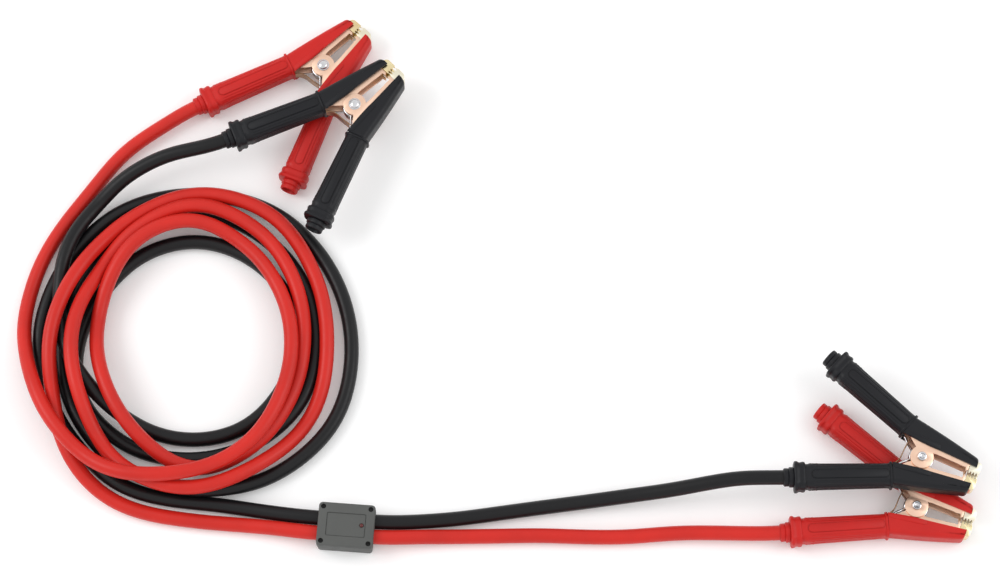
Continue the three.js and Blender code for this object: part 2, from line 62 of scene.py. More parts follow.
# Floor and light, in metres and watts
FLOOR_HALF = 6
FLOOR_WHITE = 0.90
FLOOR_GLOW = 0.12
WORLD_LIGHT = 0.86
LIGHT_AIM = (0.15, 0.25, 0)
LIGHTS = {  # place, side, power
    "key": ((-2.0, 0.5, 2.0), 1.5, 26),
    "fill": ((2.2, 0.2, 1.9), 1.6, 16),
}

# Cables
CABLE_D = 14.5
FLOOR_Z = CABLE_D / 2
CABLE_SIDES = 28
CABLE_STEP = 5.0
CURVE_SAMPLES = 24  # points between two given ones, before they are spaced evenly
COIL_CENTRE = (-152, 190)
TURN_STEP = 30  # degrees between the radii below
HUMP_R = 150.0  # tightest bend of a cable where it climbs over another
OWN_GAP = 90.0  # length of cable that can't lie over itself
DRAPE_PASSES = 8
NOWHERE = -1e3  # height of what isn't there
EASE = (9, 3.0)  # reach and spread, in steps, over which a route's wiggles are evened out
DRAPE_EASE = (6, 2.6)
RED_LENGTH = 3.62
BLACK_LENGTH = 3.57
RED_SIDE = -6.9  # where each cable passes through the box
BLACK_SIDE = 8.2
BOX_PASSAGE = (-40, -20, 0, 20, 40)
NOSE_OUT = (-17, 0, 12)  # points of a cable on the axis of a grip, from its end

# Clamp, as in the part's source
THICK = 26.0
WALL = 1.5
GAP = 0.3
HALF_WIDTH = {"cable": 17.2, "free": 20.8}
EAR_R = 11.4
RIVET_R = 3.0
SPRING_R = 11.2
HANDLE_HALF = 6.5
HANDLE_END = 40.0
SHEET_BEVEL = 0.22
JAW_END = 46
JAW_LIP = 2.6
NECK = (-14, 12)
EAR_TOP = 7  # height at which the ear's edge meets the throat
THROAT = [(8.5, 6.4), (12, 7.2), (41.6, 5.2), (43, 5.2)]
THROAT_END = [(43, 5.2), (44, 1.2)]
TIP_REAR = 46.3
TIP_FRONT = 57.5
TIP_NOSE_R = 4.5
TIP_BEVEL = 0.2
TIP_ARC = 76
TIP_STEM = 10
TOOTH_DEPTH = 2.4
TOOTH = ((0.12, 0.4 + TOOTH_DEPTH), (0.5, 0.25), (0.88, 0.4 + TOOTH_DEPTH))  # share of its pitch, y
TEETH = 4
SPRING_TURNS = 3.5
SPRING_PITCH = 2.7
SPRING_SIDES = 28
SPRING_WIRE_R = 1.15
SPRING_START = 152
SPRING_OPEN = 124
SPRING_LEG = [(-24.0, 19.5), (-17, 11.5)]
STRAP = [(-33, 22), (-27, 17.5), (-21.5, 13.3), (-18.8, 7), (-18.8, 0), (-17.6, -8), (-16.4, -15),
         (-16.5, -20)]
STRAP_HALF = (6.0, 0.55)

# Front cover
COVER_FRONT = 53.0
COVER_REAR = -21.0
COVER_HEIGHT = (36.2, 17.8)  # at the rear and the front
COVER_SLOPE = (COVER_HEIGHT[1] - COVER_HEIGHT[0]) / (COVER_FRONT - COVER_REAR)
COVER_WALL = 2.1
COVER_NOSE_R = 3.0
COVER_SHOULDER = 5.5
COVER_BULGE = 0.6
COVER_NARROWING = 0.6
COVER_HEAD = (-17.3, 35.3)
COVER_FOOT = [(-25.0, 15.8), (-5.0, 13.0), (6.0, 11.9), (14.0, 11.6), (COVER_FRONT, 8.5)]
COVER_STATIONS = [*np.linspace(0, 0.95, 17), 0.965, 0.98, 0.988, 0.995, 1.0]
PAD = [(-23.8, 15.9), (6, 12.4), (14, 12.1), (14, 16.4), (-22.0, 20.2)]
PAD_THICK = 1.4
PAD_BEVEL = 0.15
PAD_Z = THICK / 2 - 0.31

# Grip: distances along its axis, half sizes across, insets of edges
GRIP_START = Vector((-21.0, 26.0, 0.0))
GRIP_TILT = math.radians(21.9)
GRIP_AXIS = Vector((-math.cos(GRIP_TILT), math.sin(GRIP_TILT), 0.0))
GRIP_NORMAL = Vector((math.sin(GRIP_TILT), math.cos(GRIP_TILT), 0.0))
GRIP_RADIUS = 8.0
GRIP_HALF_N = 11.3
GRIP_HALF_Z = 12
GRIP_WIDENING = 1.2
GRIP_LENGTH = 85
GRIP_RINGS = (4.5, 83, 1.25)  # start, end, step
FLANGE = (12.9, 12.5)
FLANGE_RADIUS = 7.5
FLANGE_EDGES = ((0, 0.5), (0.15, 0.15), (0.4, 0), (1.9, 0), (2.2, 0.15), (2.35, 0.5))
COLLAR = (14.8, 12.9)
COLLAR_EDGES = ((84.5, 1.5), (84.9, 1.0), (86.0, 0.6), (87.2, 0.6), (89.0, 1.0), (90.6, 1.0),
                (92.0, 0.3), (92.6, 0), (94.4, 0), (95.0, 0.35), (95.3, 0.8))
NOSE_RINGS = ((95.5, 10.0), (100.5, 9.0))
NOSE_EDGES = ((0.2, 0.5), (0.6, 0.05), (3.6, 0), (4.2, 0.15), (4.6, 0.7))
NOSE_END = 105.3
ROUND = 11  # a corner radius that makes these sections round
BORE = CABLE_D / 2 + 0.15
BORE_RINGS = ((NOSE_END, 8.1), (NOSE_END - 0.1, BORE + 0.2), (NOSE_END - 0.5, BORE), (88, BORE))
FACE_FLUTES = (7.5, 10.0)
SIDE_FLUTES = (0.0, 3.4, 6.8)
FLUTE_WIDTH = 0.6
FLUTE_DEPTH = 0.5
FLUTE_ENDS = (6, 78)
FLUTE_FADE = 3
RIBS = (73.5, 76.5, 79.5)
RIB_HEIGHT = 0.4
RIB_WIDTH = 0.8
WAIST_AT = 82.4
WAIST_WIDTH = 1.2
WAIST_DEPTH = 0.5
PANEL_AT = 41
PANEL_Z = 11.7
PANEL = (37.2, 3.9)
PANEL_GROOVE = 0.9

# Box
BOX_TURN = math.radians(-4.3)
BOX_SIZE = (55.5, 43.5, 27.0)
BOX_JOINT_Z = 13.35
TOP = BOX_SIZE[2]
SCREWS = [(x * 23.15, y * 17.15) for x in (1, -1) for y in (1, -1)]
SCREW_HOLE = (2.5, 9)  # radius, depth
LIGHT_AT = (15.3, 0.6)
LIGHT_HOLE = (2.2, 3)
LABEL = (19, 11.5)

# Mesh
CREASE = math.radians(32)
CORNER_STEPS = 7
CORNER_SPLIT = 4
SIDE_SPLIT = 16

# name: pivot x, y, direction of the jaws in degrees, turned over, on another clamp
CLAMPS = {
    "red_left": (-29.1, 477.8, 46.8, False, False),
    "black_left": (4.4, 426.2, 43.9, False, True),
    "red_right": (556.0, 20.1, -18.2, True, False),
    "black_right": (559.6, 62.7, -21.0, True, True),
}
FREE = Matrix.Rotation(math.pi, 4, "X")


# Places

def clamp_matrix(name):
    x, y, turn, over, upper = CLAMPS[name]
    z = THICK / 2 + (THICK + GAP if upper else 0)
    flip = Matrix.Rotation(math.pi, 4, "X") if over else Matrix.Identity(4)
    return Matrix.Translation((x, y, z)) @ Matrix.Rotation(math.radians(turn), 4, "Z") @ flip


def grip_point(along, outward=0.0, z=0.0):
    return GRIP_START + GRIP_AXIS * along + GRIP_NORMAL * outward + Vector((0, 0, z))


def nose_route(name):
    place = clamp_matrix(name)
    return [tuple(place @ grip_point(NOSE_END + distance)) for distance in NOSE_OUT]


def box_route(y):
    turn = Matrix.Rotation(BOX_TURN, 4, "Z")
    return [tuple(turn @ Vector((x, y, BOX_JOINT_Z))) for x in BOX_PASSAGE]


# Cables

def bell(reach, spread):
    """Weights of a smoothing over reach steps to each side."""
    weights = np.exp(-0.5 * (np.arange(-reach, reach + 1) / spread) ** 2)
    return weights / weights.sum()


def eased(line):
    """Evens out small wiggles; both ends keep their place."""
    reach = EASE[0]
    before = (2 * line[0] - line[1:reach + 1])[::-1]
    after = (2 * line[-1] - line[-reach - 1:-1])[::-1]
    padded = np.vstack([before, line, after])
    return np.column_stack([np.convolve(axis, bell(*EASE), mode="valid") for axis in padded.T])


def cable_line(points, step=CABLE_STEP):
    """Evenly spaced points on a centripetal Catmull-Rom curve through the given ones."""
    p = np.array(points, float)
    p = np.vstack([2 * p[0] - p[1], p, 2 * p[-1] - p[-2]])
    out = []
    for a, b, c, d in zip(p, p[1:], p[2:], p[3:]):
        gaps = [math.sqrt(np.linalg.norm(v - u)) for u, v in ((a, b), (b, c), (c, d))]
        t = np.cumsum([0.0] + gaps)
        for s in np.linspace(t[1], t[2], CURVE_SAMPLES, endpoint=False):
            def mix(u, v, t0, t1):
                return (t1 - s) / (t1 - t0) * u + (s - t0) / (t1 - t0) * v
            ab, bc, cd = mix(a, b, t[0], t[1]), mix(b, c, t[1], t[2]), mix(c, d, t[2], t[3])
            out.append(mix(mix(ab, bc, t[0], t[2]), mix(bc, cd, t[1], t[3]), t[1], t[2]))
    out = np.array(out + [p[-2]])
    lengths = np.linalg.norm(np.diff(out, axis=0), axis=1)
    along = np.concatenate([[0], np.cumsum(lengths)])
    even = np.linspace(0, along[-1], int(along[-1] / step) + 1)
    return eased(np.column_stack([np.interp(even, along, axis) for axis in out.T]))


def turns(start, radii):
    """Points of the coil's turns, one every TURN_STEP degrees from the start angle."""
    points = []
    for k, radius in enumerate(radii):
        angle = math.radians(start + k * TURN_STEP)
        x, y = radius * math.cos(angle), radius * math.sin(angle)
        points.append((COIL_CENTRE[0] + x, COIL_CENTRE[1] + y, FLOOR_Z))
    return points


def drape(line, below):
    """Lifts a cable over those below it and over its own later turns, in long low humps."""
    def resting(apart, heights, allowed=True):
        """Heights at which the cable lies on the points that are under it."""
        over = heights[None, :] + np.sqrt(np.maximum(CABLE_D ** 2 - apart ** 2, 0))
        touching = (apart < CABLE_D) & allowed
        return np.where(touching, over, NOWHERE).max(axis=1, initial=NOWHERE)

    index = np.arange(len(line))
    base = line[:, 2].copy()
    later = (index[None, :] - index[:, None]) * CABLE_STEP
    fall = later.astype(float) ** 2 / (2 * HUMP_R)
    own = np.linalg.norm(line[:, None, :2] - line[None, :, :2], axis=2)
    other = np.linalg.norm(line[:, None, :2] - below[None, :, :2], axis=2)
    for _ in range(DRAPE_PASSES):
        need = np.maximum(base, resting(own, line[:, 2], later > OWN_GAP))
        need = np.maximum(need, resting(other, below[:, 2]))
        line[:, 2] = (need[None, :] - fall).max(axis=1).clip(min=base)
    padded = np.pad(line[:, 2], DRAPE_EASE[0], mode="edge")
    line[:, 2] = np.convolve(padded, bell(*DRAPE_EASE), mode="valid")
    return line


RED_TAIL = [
    (-184, 420, 12), (-208, 405, 10), (-232, 386, 8.5), (-247, 367, 7.5), (-266, 341, 7.3),
    (-286, 314, 7.3), (-301, 289, 7.3), (-311, 267, 7.3), (-317, 247, 7.3), (-322, 222, 7.3),
]
RED_RADII = [
    170, 163, 158.5, 139, 122, 104, 96.5, 97.5, 107, 122, 117.5, 103.5,
    97.5, 99.5, 112.5, 133, 125, 113, 108.4, 114.5, 127.5, 138.8, 128.6, 118.5,
    120.6, 127, 146.5, 154.5, 143.5, 138.5, 131, 136, 149, 151.6, 142.6, 136.3,
    142,
]
RED_LEAD = [
    (-288, 118, 7.3), (-281, 90, 7.3), (-264, 58, 7.3), (-240, 35, 7.3), (-208, 19, 7.3),
    (-155, 9, 7.3), (-102, 4.2, 7.3), (-70, 0.8, 9.5),
]
RED_RIGHT = [
    (64, -8.4, 10.5), (87, -7.9, 8), (112, -7.3, 7.3), (148, -6.8, 7.3), (187, -6, 7.3),
    (216, -7, 7.3), (254, -8, 7.3), (284, -7, 7.3), (317, -4, 8), (350, -4, 10), (382, -5, 12),
]
BLACK_TAIL = [
    (-156, 383, 36), (-181, 379, 31), (-206, 369, 25), (-230, 355, 18), (-249, 336, 12),
    (-265, 317, 9), (-277, 297, 7.3),
]
BLACK_RADII = [
    155, 131, 112, 102.5, 100.6, 101.5, 99.5, 101.5, 102.3, 102.5, 105.9, 107,
    107.8, 117, 127, 124.5, 120.4, 120.2, 122, 120.2, 122.5, 128, 137, 134.7,
    130, 134, 138, 145, 152.5, 157.8, 161, 155, 152.8, 155.2, 155.1, 158,
    155.6, 156.2, 155.2, 161.5,
]
BLACK_LEAD = [(-203, 36, 7.3), (-171, 29, 7.3), (-129, 25, 7.3), (-94, 19.5, 7.3), (-67, 15, 9.5)]
BLACK_RIGHT = [
    (64, 6.3, 10.5), (87, 8.2, 8), (112, 10.8, 7.3), (142, 15, 7.3), (177, 20, 7.3), (216, 25, 8),
    (253, 29.5, 10), (283, 33, 13), (317, 36, 18), (352, 41, 26), (386, 45, 34),
]

red_line = cable_line(
    nose_route("red_left") + RED_TAIL + turns(180, RED_RADII) + RED_LEAD
    + box_route(RED_SIDE) + RED_RIGHT + nose_route("red_right")[::-1])
black_line = cable_line(
    nose_route("black_left") + BLACK_TAIL + turns(150, BLACK_RADII) + BLACK_LEAD
    + box_route(BLACK_SIDE) + BLACK_RIGHT + nose_route("black_right")[::-1])
black_line = drape(black_line, np.zeros((0, 3)))
red_line = drape(red_line, black_line)


# Mesh code: a part is (vertices, faces)

def merged(*parts):
    verts, faces = [], []
    for v, f in parts:
        faces += [[i + len(verts) for i in face] for face in f]
        verts += [Vector(p) for p in v]
    return verts, faces


def moved(part, matrix):
    return [matrix @ Vector(v) for v in part[0]], part[1]


def loft(rings):
    """Closed skin over rings of equal point count."""
    n = len(rings[0])
    verts = [Vector(p) for ring in rings for p in ring]
    faces = []
    for k in range(len(rings) - 1):
        for i in range(n):
            j = (i + 1) % n
            faces.append([k * n + i, k * n + j, (k + 1) * n + j, (k + 1) * n + i])
    faces.append(list(range(n))[::-1])
    faces.append([(len(rings) - 1) * n + i for i in range(n)])
    return verts, faces


def prism(outline, bottom, top):
    """Upright block of the outline's shape."""
    return loft([[(x, y, z) for x, y in outline] for z in (bottom, top)])


def circle(radius, sides):
    angles = [2 * math.pi * i / sides for i in range(sides)]
    return [(radius * math.cos(a), radius * math.sin(a)) for a in angles]


def lathe(profile, sides):
    """Solid of revolution about Z of (radius, z) pairs that start and end on the axis."""
    return loft([[(x, y, z) for x, y in circle(radius, sides)] for radius, z in profile[1:-1]])


def tangents(points):
    last = len(points) - 1
    return [(points[min(i + 1, last)] - points[max(i - 1, 0)]).normalized() for i in range(last + 1)]


def wire(points, radius, sides):
    """Round wire along points, without twist."""
    points = [Vector(p) for p in points]
    side = tangents(points)[0].orthogonal().normalized()
    rings = []
    for at, along in zip(points, tangents(points)):
        side = (side - along * side.dot(along)).normalized()
        other = along.cross(side)
        rings.append([at + side * x + other * y for x, y in circle(radius, sides)])
    return loft(rings)


def strip(points, half_wide, half_thick):
    """Flat strip along points in the XY plane, its width along Z and its corners cut off."""
    up = Vector((0, 0, 1))
    corner = half_thick * 0.6
    shape = [(half_wide, half_thick - corner), (half_wide - corner, half_thick),
             (corner - half_wide, half_thick), (-half_wide, half_thick - corner)]
    shape += [(-a, -b) for a, b in shape]
    points = [Vector(p) for p in points]
    rings = []
    for at, along in zip(points, tangents(points)):
        out = up.cross(along).normalized()
        rings.append([at + up * a + out * b for a, b in shape])
    return loft(rings)


def flat_plate(outline, thick, bevel=0.0, holes=(), z=0.0):
    """Sheet cut to an outline in the XY plane, with softened edges."""
    curve = bpy.data.curves.new("cut", "CURVE")
    curve.dimensions = "2D"
    curve.fill_mode = "BOTH"
    curve.extrude = thick / 2 - bevel
    curve.bevel_depth = bevel
    curve.bevel_resolution = 1
    curve.offset = -bevel
    for points in (outline, *holes):
        spline = curve.splines.new("POLY")
        spline.points.add(len(points) - 1)
        for point, (x, y) in zip(spline.points, points):
            point.co = (x, y, 0, 1)
        spline.use_cyclic_u = True
    holder = bpy.data.objects.new("cut", curve)
    mesh = bpy.data.meshes.new_from_object(holder)
    bm = bmesh.new()
    bm.from_mesh(mesh)
    bmesh.ops.remove_doubles(bm, verts=bm.verts, dist=1e-5)
    bmesh.ops.recalc_face_normals(bm, faces=bm.faces)
    verts = [Vector((v.co.x, v.co.y, v.co.z + z)) for v in bm.verts]
    faces = [[v.index for v in f.verts] for f in bm.faces]
    bm.free()
    bpy.data.objects.remove(holder)
    bpy.data.curves.remove(curve)
    bpy.data.meshes.remove(mesh)
    return verts, faces


def add_object(name, data):
    thing = bpy.data.objects.new(name, data)
    bpy.context.scene.collection.objects.link(thing)
    return thing


def mesh_of(name, part, join):
    """Mesh whose points within the join distance are one, with its faces turned outward."""
    verts, faces = part
    mesh = bpy.data.meshes.new(name)
    mesh.from_pydata([Vector(v) for v in verts], [], faces)
    bm = bmesh.new()
    bm.from_mesh(mesh)
    bmesh.ops.remove_doubles(bm, verts=bm.verts, dist=join)
    bmesh.ops.recalc_face_normals(bm, faces=bm.faces)
    bm.to_mesh(mesh)
    bm.free()
    return mesh


def cut(part, cutters):
    """The part with closed shapes cut out of it, one after another."""
    whole = add_object("whole", mesh_of("whole", part, 1e-4))
    for shape in cutters:
        cutter = add_object("cutter", mesh_of("cutter", shape, 1e-4))
        change = whole.modifiers.new("cut", "BOOLEAN")
        change.object = cutter
        change.solver = "EXACT"
        bpy.context.view_layer.update()
        graph = bpy.context.evaluated_depsgraph_get()
        mesh = bpy.data.meshes.new_from_object(whole.evaluated_get(graph))
        whole.modifiers.clear()
        whole.data = mesh
        bpy.data.objects.remove(cutter)
    verts = [v.co.copy() for v in whole.data.vertices]
    faces = [list(f.vertices) for f in whole.data.polygons]
    bpy.data.objects.remove(whole)
    return verts, faces


def arc(x, y, radius, start, end, steps):
    angles = np.linspace(math.radians(start), math.radians(end), steps)
    return [(x + radius * math.cos(a), y + radius * math.sin(a)) for a in angles]


def rounded(half_x, half_y, radius, steps):
    """Rounded rectangle, the same number of points whatever its sizes."""
    radius = min(radius, half_x, half_y)
    points = []
    for x, y, start in ((1, 1, 0), (-1, 1, 90), (-1, -1, 180), (1, -1, 270)):
        centre = (x * (half_x - radius), y * (half_y - radius))
        points += arc(*centre, radius, start, start + 90, steps)
    return points


def softened(outline, radius, steps=4):
    """The outline with each corner rounded off by up to the radius."""
    out = []
    n = len(outline)
    for i in range(n):
        p = Vector(outline[i])
        before, after = Vector(outline[i - 1]) - p, Vector(outline[(i + 1) % n]) - p
        reach = min(radius, before.length * 0.45, after.length * 0.45)
        a, b = p + before.normalized() * reach, p + after.normalized() * reach
        for t in np.linspace(0, 1, steps):
            q = a * (1 - t) ** 2 + p * 2 * t * (1 - t) + b * t ** 2
            out.append((q.x, q.y))
    return out


def piece(name, part, finish, body, nodes, matrix=Matrix.Identity(4)):
    """A finished object in metres: its mesh, material, body and the CAD nodes it stands for."""
    mesh = mesh_of(name, moved(part, Matrix.Scale(MM, 4) @ matrix), 1e-7)
    mesh.shade_smooth()
    mesh.set_sharp_from_angle(angle=CREASE)
    mesh.materials.append(finish)
    thing = add_object(name, mesh)
    if body:
        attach(thing, body)
    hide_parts(*nodes)
    return thing


# Materials

def new_material(name):
    m = bpy.data.materials.new(name)
    m.use_nodes = True
    nodes, links = m.node_tree.nodes, m.node_tree.links
    return m, nodes, links, nodes["Principled BSDF"], nodes.new("ShaderNodeTexCoord")


def noise(nodes, links, coords, scale, detail, stretch=None, rough=0.55):
    tex = nodes.new("ShaderNodeTexNoise")
    tex.inputs["Scale"].default_value = scale
    tex.inputs["Detail"].default_value = detail
    tex.inputs["Roughness"].default_value = rough
    source = coords.outputs["Object"]
    if stretch:
        mapping = nodes.new("ShaderNodeMapping")
        mapping.inputs["Scale"].default_value = stretch
        links.new(source, mapping.inputs["Vector"])
        source = mapping.outputs["Vector"]
    links.new(source, tex.inputs["Vector"])
    return tex.outputs["Fac"]


def ramp(nodes, links, value, low, high, a, b):
    """Value mapped from low..high to the colours or grey levels a..b."""
    node = nodes.new("ShaderNodeValToRGB")
    node.color_ramp.elements[0].position = low
    node.color_ramp.elements[1].position = high
    for element, colour in zip(node.color_ramp.elements, (a, b)):
        rgb = colour if hasattr(colour, "__len__") else (colour, colour, colour)
        element.color = (*rgb, 1)
    links.new(value, node.inputs["Fac"])
    return node.outputs["Color"]


def bump(nodes, links, bsdf, height, strength, distance, chain=None):
    """Surface relief, its distance in metres, on top of the chained one."""
    node = nodes.new("ShaderNodeBump")
    node.inputs["Strength"].default_value = strength
    node.inputs["Distance"].default_value = distance
    links.new(height, node.inputs["Height"])
    if chain:
        links.new(chain, node.inputs["Normal"])
    links.new(node.outputs["Normal"], bsdf.inputs["Normal"])
    return node.outputs["Normal"]


def moulded(name, colour, worn, grain=900.0, rough=0.42, coat=0.0):
    """Moulded or extruded plastic: cloudy colour, scuffs, satin roughness and a fine grain."""
    m, nodes, links, bsdf, coords = new_material(name)
    clouds = noise(nodes, links, coords, 18.0, 5.0)
    scuffs = noise(nodes, links, coords, 260.0, 8.0, rough=0.7)
    mix = nodes.new("ShaderNodeMix")
    mix.data_type = "RGBA"
    deep = [c * 0.86 for c in colour]
    links.new(ramp(nodes, links, scuffs, 0.60, 0.78, 0.0, 0.55), mix.inputs["Factor"])
    links.new(ramp(nodes, links, clouds, 0.35, 0.7, colour, deep), mix.inputs["A"])
    mix.inputs["B"].default_value = (*worn, 1)
    links.new(mix.outputs["Result"], bsdf.inputs["Base Color"])
    satin = ramp(nodes, links, scuffs, 0.3, 0.75, rough - 0.06, rough + 0.14)
    links.new(satin, bsdf.inputs["Roughness"])
    bsdf.inputs["Specular IOR Level"].default_value = 0.3
    bsdf.inputs["Coat Weight"].default_value = coat
    bsdf.inputs["Coat Roughness"].default_value = 0.3
    first = bump(nodes, links, bsdf, noise(nodes, links, coords, grain, 3.0), 0.25, 0.00008)
    bump(nodes, links, bsdf, clouds, 0.3, 0.0004, first)
    return m


def metal(name, colour, shade, rough, brush=(1, 1, 1)):
    """Plated or polished metal: slight tarnish, brushed roughness and fine scratches."""
    m, nodes, links, bsdf, coords = new_material(name)
    bsdf.inputs["Metallic"].default_value = 1.0
    tarnish = noise(nodes, links, coords, 60.0, 6.0, rough=0.6)
    links.new(ramp(nodes, links, tarnish, 0.42, 0.75, colour, shade), bsdf.inputs["Base Color"])
    scratch = noise(nodes, links, coords, 400.0, 6.0, stretch=brush, rough=0.65)
    brushed = ramp(nodes, links, scratch, 0.3, 0.75, rough * 0.8, rough * 1.5)
    links.new(brushed, bsdf.inputs["Roughness"])
    bump(nodes, links, bsdf, scratch, 0.15, 0.00005)
    return m


RED_SLEEVE = moulded("red_sleeve", (0.56, 0.012, 0.009), (0.60, 0.04, 0.03))
BLACK_SLEEVE = moulded("black_sleeve", (0.006, 0.0065, 0.009), (0.018, 0.019, 0.024))
RED_CABLE = moulded("red_cable", (0.62, 0.020, 0.013), (0.66, 0.05, 0.035), 1400.0, 0.36)
BLACK_CABLE = moulded("black_cable", (0.006, 0.006, 0.007), (0.018, 0.018, 0.020), 1400.0, 0.36)
GREY_BOX = moulded("grey_plastic", (0.094, 0.097, 0.093), (0.14, 0.14, 0.135), 1100.0, 0.55)
COPPER = metal("copper_sheet", (0.94, 0.66, 0.50), (0.88, 0.58, 0.43), 0.36, (1, 6, 1))
BRASS = metal("brass_contact", (0.95, 0.82, 0.50), (0.82, 0.62, 0.32), 0.2)
# The free half's contact is the same brass as the cable half's, drawn paler: a painted highlight
# where it catches the light.
LIT_BRASS = metal("lit_brass_contact", (0.93, 0.88, 0.72), (0.84, 0.76, 0.56), 0.32)
# The ribbon is the same copper sheet as the plates, drawn dark brown: painted shade and painted dark
# reflection of a strap seen edge-on.
SHADED_COPPER = metal("shaded_copper", (0.42, 0.25, 0.14), (0.22, 0.12, 0.07), 0.3)
STEEL = metal("steel", (0.78, 0.78, 0.80), (0.55, 0.55, 0.57), 0.16)
SCREW = metal("black_screw", (0.03, 0.03, 0.03), (0.015, 0.015, 0.015), 0.35)
LENS = moulded("lens", (0.10, 0.006, 0.006), (0.16, 0.02, 0.015), rough=0.12, coat=0.6)
SLEEVES = {"red": RED_SLEEVE, "black": BLACK_SLEEVE}
# The free half gets the paler copy of the brass, a painted highlight.
CONTACTS = {"cable": BRASS, "free": LIT_BRASS}

for colour, line, finish, length in (
    ("red", red_line, RED_CABLE, RED_LENGTH), ("black", black_line, BLACK_CABLE, BLACK_LENGTH)
):
    run = float(np.linalg.norm(np.diff(line, axis=0), axis=1).sum())
    print(f"{colour} cable {run:.0f} mm, top {line[:, 2].max() + CABLE_D / 2:.1f} mm")
    thing = piece(f"{colour}_cable_run", wire(line, CABLE_D / 2, CABLE_SIDES), finish, "root",
                  [f"{colour}_cable_{part}" for part in ("tail", "coil", "lead")])


# Clamp halves

def metal_edge(x):
    """Outer edge of the sheet, just inside the cover."""
    return COVER_HEIGHT[0] + (x - COVER_REAR) * COVER_SLOPE - COVER_WALL - GAP


def line_at(x, outward):
    """The point at x on the line beside the grip's axis."""
    along = (x - GRIP_START.x - outward * GRIP_NORMAL.x) / GRIP_AXIS.x
    p = grip_point(along, outward)
    return (p.x, p.y)


def jaw_part(width):
    """Stamped channel: two side plates with ears, and the web that joins them."""
    neck_angle = math.degrees(math.atan2(NECK[1], NECK[0]))
    throat_angle = math.degrees(math.asin(EAR_TOP / EAR_R))
    plate = [(JAW_END, JAW_LIP), (JAW_END, metal_edge(JAW_END)),
             (COVER_REAR, metal_edge(COVER_REAR)), line_at(COVER_REAR, HANDLE_HALF)]
    plate += [tuple(grip_point(HANDLE_END, side * HANDLE_HALF)[:2]) for side in (1, -1)]
    plate += [line_at(COVER_REAR, -HANDLE_HALF), NECK]
    plate = softened(plate, 1.2)[:-4] + [NECK]  # the neck stays sharp
    plate += arc(0, 0, EAR_R, neck_angle, 360 + throat_angle, 34)
    plate += softened(THROAT, 2.0, 5)[5:-1] + THROAT_END
    hole = arc(0, 0, RIVET_R + GAP, 0, 345, 24)
    offset = (width - WALL) / 2
    parts = [flat_plate(plate, WALL, SHEET_BEVEL, [hole], side * offset) for side in (1, -1)]
    inner = HANDLE_HALF - WALL / 2
    web = [(x, metal_edge(x) - WALL / 2, 0) for x in (JAW_END, 12, COVER_REAR + 2)]
    web += [(*line_at(COVER_REAR - 3, inner), 0), grip_point(HANDLE_END, inner)]
    parts.append(strip(web, width / 2 - 0.1, WALL / 2))
    return merged(*parts)


def tip_part(width):
    """Toothed contact that caps the sheet, with a rounded nose."""
    pitch = (TIP_FRONT - TIP_REAR) / TEETH
    outline = [(TIP_REAR + (k + share) * pitch, y) for k in range(TEETH) for share, y in TOOTH]
    nose = (TIP_FRONT - TIP_NOSE_R, metal_edge(TIP_FRONT) - TIP_NOSE_R)
    outline += [(TIP_FRONT, TOOTH_DEPTH)] + arc(*nose, TIP_NOSE_R, 0, TIP_ARC, 9)
    outline += [(TIP_REAR, metal_edge(TIP_REAR))]
    offset = (width - WALL) / 2
    parts = [flat_plate(outline, WALL, TIP_BEVEL, z=side * offset) for side in (1, -1)]
    band = [(TIP_REAR, metal_edge(TIP_REAR) - WALL / 2, 0)]
    band += [(*p, 0) for p in arc(*nose, TIP_NOSE_R - WALL / 2, TIP_ARC, 0, 9)]
    band += [(TIP_FRONT - WALL / 2, TOOTH_DEPTH + 3, 0)]
    parts.append(strip(band, width / 2 - 0.1, WALL / 2))
    stem = [(x, metal_edge(x) - 1.6 * WALL, 0) for x in (TIP_REAR - TIP_STEM, TIP_REAR + 1)]
    parts.append(strip(stem, width / 2 - WALL - GAP, WALL / 2))
    return merged(*parts)


def cover_section(half, tall, inset, bulge):
    """Outline of the channel across the cover: (side, height) pairs over the top."""
    r = max(COVER_SHOULDER - inset, 0.8)
    w, h = half - inset, tall - inset + bulge
    shape = [(w, 0.0), (w, h * 0.3), (w, h * 0.6)]
    shape += arc(w - r, h - r, r, 0, 90, 8)
    return shape + [(-a, b) for a, b in reversed(shape)]


def cover_part():
    """Front cover: a tapering channel with rounded shoulders, and a raised pad over the ear."""
    rings = []
    for s in COVER_STATIONS:
        foot = Vector((COVER_FOOT[0][0], 0)).lerp(Vector((COVER_FRONT, 0)), s)
        foot.y = np.interp(foot.x, *zip(*COVER_FOOT))
        head = Vector(COVER_HEAD).lerp(Vector((COVER_FRONT, COVER_HEIGHT[1])), s)
        ahead = max(0.0, head.x - (COVER_FRONT - COVER_NOSE_R))
        head.y -= COVER_NOSE_R - math.sqrt(max(0.0, COVER_NOSE_R ** 2 - ahead ** 2))
        bulge = COVER_BULGE * math.sin(math.pi * s)
        up = (head - foot).normalized()
        tall = (head - foot).length
        half = THICK / 2 - COVER_NARROWING * s
        ring = cover_section(half, tall, 0, bulge)[::-1]
        ring += cover_section(half, tall, COVER_WALL, bulge)
        rings.append([(foot.x + up.x * b, foot.y + up.y * b, a) for a, b in ring])
    pad = softened(PAD, 2.0, 6)
    pads = [flat_plate(pad, PAD_THICK, PAD_BEVEL, z=side * PAD_Z) for side in (1, -1)]
    return merged(loft(rings), *pads)


def hill(value, centre, width):
    return math.exp(-((value - centre) / width) ** 2)


